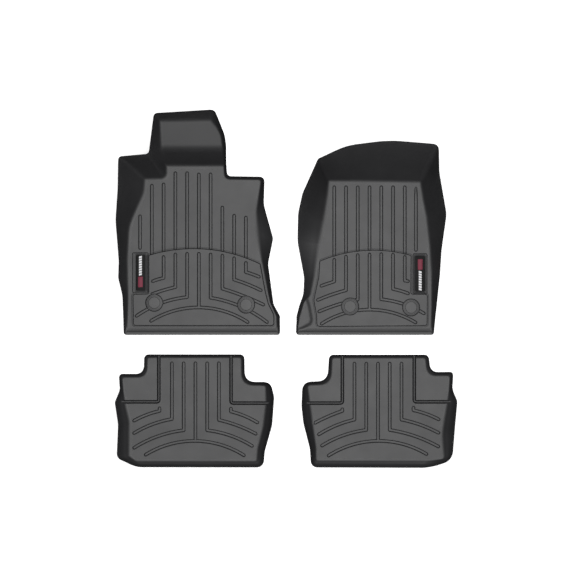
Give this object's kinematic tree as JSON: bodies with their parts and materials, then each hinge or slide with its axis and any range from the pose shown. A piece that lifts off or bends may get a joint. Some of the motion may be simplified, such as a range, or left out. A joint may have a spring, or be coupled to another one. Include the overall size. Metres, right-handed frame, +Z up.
{
  "type": "floor mat set",
  "caption": "Moulded trays that cover a two-door car's front and rear footwells and catch water and dirt.",
  "frame": {"origin": "centre of the whole set's footprint, on the surface it stands on", "axes": "+X towards the car's right, +Y towards its front, +Z up"},
  "size_m": [1.0951, 1.1443, 0.153],
  "materials": {
    "sheet_plastic": "matte, finely grained black",
    "badge_plastic": "satin black with a pale and dark red emblem",
    "cap_plastic": "satin black",
    "socket_plastic": "satin black"
  },
  "bodies": {
    "driver": {"driver_mat": "sheet_plastic", "driver_badge": "badge_plastic", "driver_outer_cap": "cap_plastic", "driver_inner_cap": "cap_plastic", "driver_outer_socket": "socket_plastic", "driver_inner_socket": "socket_plastic"},
    "passenger": {"passenger_mat": "sheet_plastic", "passenger_badge": "badge_plastic", "passenger_outer_cap": "cap_plastic", "passenger_inner_cap": "cap_plastic", "passenger_outer_socket": "socket_plastic", "passenger_inner_socket": "socket_plastic"},
    "rear_left": {"rear_left_mat": "sheet_plastic"},
    "rear_right": {"rear_right_mat": "sheet_plastic"}
  },
  "joints": [
    {"name": "passenger_lift", "type": "slide", "parent": "driver", "child": "passenger", "axis": [0, 0, 1], "range_m": [0, 0.25]},
    {"name": "rear_left_lift", "type": "slide", "parent": "driver", "child": "rear_left", "axis": [0, 0, 1], "range_m": [0, 0.25]},
    {"name": "rear_right_lift", "type": "slide", "parent": "driver", "child": "rear_right", "axis": [0, 0, 1], "range_m": [0, 0.25]}
  ]
}
